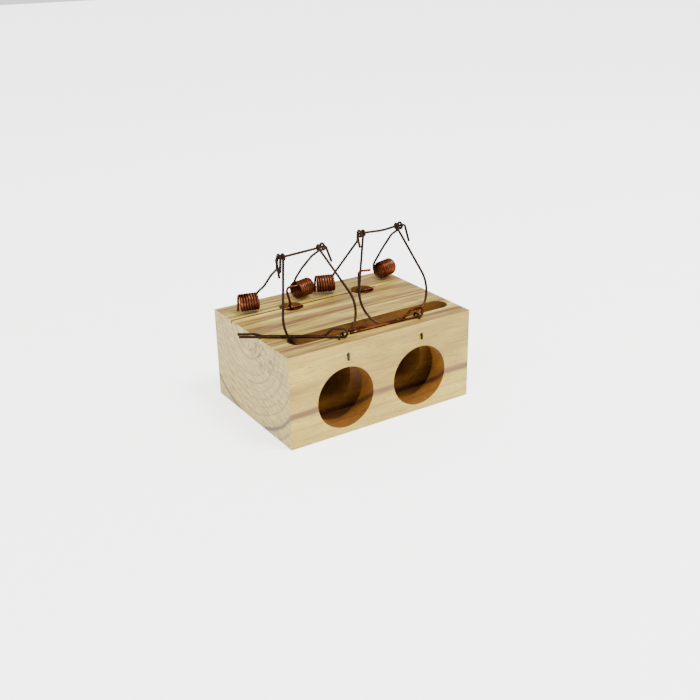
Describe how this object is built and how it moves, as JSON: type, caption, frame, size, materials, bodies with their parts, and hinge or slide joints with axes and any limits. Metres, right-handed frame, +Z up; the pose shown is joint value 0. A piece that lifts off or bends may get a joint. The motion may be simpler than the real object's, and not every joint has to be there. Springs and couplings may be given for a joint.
{
  "type": "snap mouse trap",
  "caption": "Wooden choker-loop mouse trap: tunnels bored in a block, wire nooses pulled up through a cross slot by coil springs, with triggers and locking pins.",
  "frame": {"origin": "centre of the block's base", "axes": "+Z up, +X along the block, -Y towards the side with the tunnel mouths"},
  "size_m": [0.1076, 0.073, 0.0846],
  "materials": {
    "pine": "bare sawn pine, planed on the broad faces",
    "copper_wire": "bright spring wire with a thin copper drawing film",
    "spring_wire": "brown-black drawn steel wire",
    "plain_wire": "dull grey steel wire"
  },
  "bodies": {
    "base": {"wood_block": "pine", "pivot_rod": "copper_wire", "left_outer_coil": "copper_wire", "left_inner_coil": "copper_wire", "right_inner_coil": "copper_wire", "right_outer_coil": "copper_wire", "left_staple": "plain_wire", "right_staple": "plain_wire"},
    "left_bail": {"left_outer_arm": "spring_wire", "left_inner_arm": "spring_wire", "left_crossbar": "spring_wire"},
    "left_choker": {"left_noose": "spring_wire"},
    "right_bail": {"right_inner_arm": "spring_wire", "right_outer_arm": "spring_wire", "right_crossbar": "spring_wire"},
    "right_choker": {"right_noose": "spring_wire"},
    "left_pin": {"left_locking_pin": "spring_wire"},
    "right_pin": {"right_locking_pin": "spring_wire"},
    "left_catch": {"left_trigger": "copper_wire"},
    "right_catch": {"right_trigger": "copper_wire"}
  },
  "joints": [
    {"name": "left_bail_hinge", "type": "hinge", "parent": "base", "child": "left_bail", "pos_m": [-0.0255, 0.0243, 0.0502], "axis": [1, 0, 0], "range_deg": [0, 35], "stiffness_Nm_per_rad": 0.26, "deforming": ["left_outer_coil", "left_inner_coil"]},
    {"name": "right_bail_hinge", "type": "hinge", "parent": "base", "child": "right_bail", "pos_m": [0.0205, 0.0243, 0.0502], "axis": [1, 0, 0], "range_deg": [-5, 43], "stiffness_Nm_per_rad": 0.26, "deforming": ["right_inner_coil", "right_outer_coil"]},
    {"name": "left_noose_hinge", "type": "hinge", "parent": "left_bail", "child": "left_choker", "pos_m": [-0.0255, -0.0078, 0.0807], "axis": [0.999, 0, 0.045], "range_deg": [-30, 1]},
    {"name": "right_noose_hinge", "type": "hinge", "parent": "right_bail", "child": "right_choker", "pos_m": [0.0198, -0.0046, 0.0826], "axis": [1, 0, 0], "range_deg": [-31, 4]},
    {"name": "left_pin_swivel", "type": "hinge", "parent": "base", "child": "left_pin", "pos_m": [-0.01767, -0.02939, 0.04562], "axis": [0, 0, 1], "range_deg": [-50, 0]},
    {"name": "right_pin_swivel", "type": "hinge", "parent": "base", "child": "right_pin", "pos_m": [0.02302, -0.02823, 0.04562], "axis": [0, 0, 1], "range_deg": [-15, 45]},
    {"name": "left_trigger_pivot", "type": "hinge", "parent": "base", "child": "left_catch", "pos_m": [-0.0176, 0.0178, 0.0443], "axis": [1, 0, 0], "range_deg": [-12, 12]},
    {"name": "right_trigger_pivot", "type": "hinge", "parent": "base", "child": "right_catch", "pos_m": [0.0222, 0.0178, 0.0443], "axis": [1, 0, 0], "range_deg": [-12, 12]}
  ],
  "couplings": [
    {"joint": "left_noose_hinge", "follows": "left_bail_hinge", "ratio": -0.651},
    {"joint": "right_noose_hinge", "follows": "right_bail_hinge", "ratio": -0.6}
  ]
}
